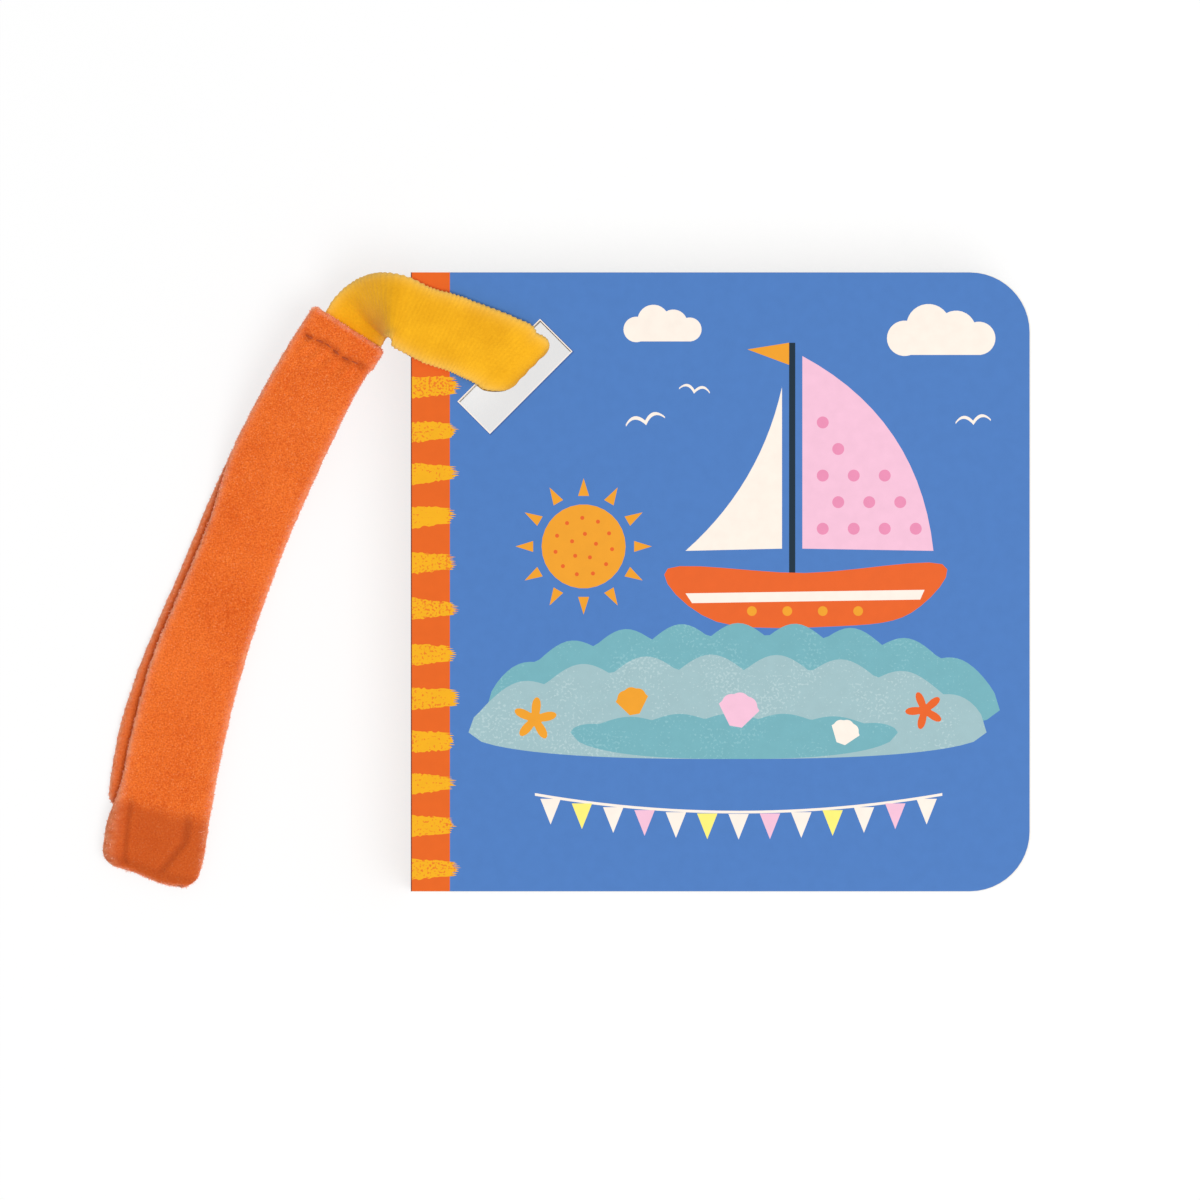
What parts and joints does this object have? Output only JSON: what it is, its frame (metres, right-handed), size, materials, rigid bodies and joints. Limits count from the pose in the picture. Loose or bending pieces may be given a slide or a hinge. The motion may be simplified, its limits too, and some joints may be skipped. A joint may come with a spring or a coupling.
{
  "type": "stroller book",
  "caption": "Square board book with rounded fore-edge corners, felt flaps inside, and a soft strap threaded through a slanted window near the spine.",
  "frame": {"origin": "centre of the back cover's outer face", "axes": "+X from the spine to the fore edge, +Y to the book's head, +Z from the back cover to the front cover"},
  "size_m": [0.2086, 0.1402, 0.0226],
  "materials": {
    "printed_board": "matt laminated printed card",
    "spine_paper": "matt laminated printed card",
    "page_board": "matt printed card with white cut edges",
    "felt": "soft felt",
    "knit_strap": "brushed knit",
    "plush_tab": "short pile loop fabric",
    "hook_tape": "moulded hook tape"
  },
  "bodies": {
    "block": {"spine": "spine_paper", "pages": "page_board", "felt_flap_1": "felt", "felt_flap_2": "felt", "felt_flap_3": "felt", "felt_flap_4": "felt", "strap_loop": "knit_strap", "front_tab": "plush_tab", "rear_tab": "plush_tab", "hook_patch": "hook_tape"},
    "front_board": {"front_cover": "printed_board"},
    "back_board": {"back_cover": "printed_board", "felt_flap_5": "felt"}
  },
  "joints": [
    {"name": "front_cover_hinge", "type": "hinge", "parent": "block", "child": "front_board", "pos_m": [-0.07015, 0, 0.0164], "axis": [0, -1, 0], "range_deg": [0, 179], "deforming": ["strap_loop", "front_tab", "rear_tab"]},
    {"name": "back_cover_hinge", "type": "hinge", "parent": "block", "child": "back_board", "pos_m": [-0.07015, 0, 0.0028], "axis": [0, 1, 0], "range_deg": [0, 179], "deforming": ["strap_loop", "front_tab", "rear_tab"]}
  ]
}
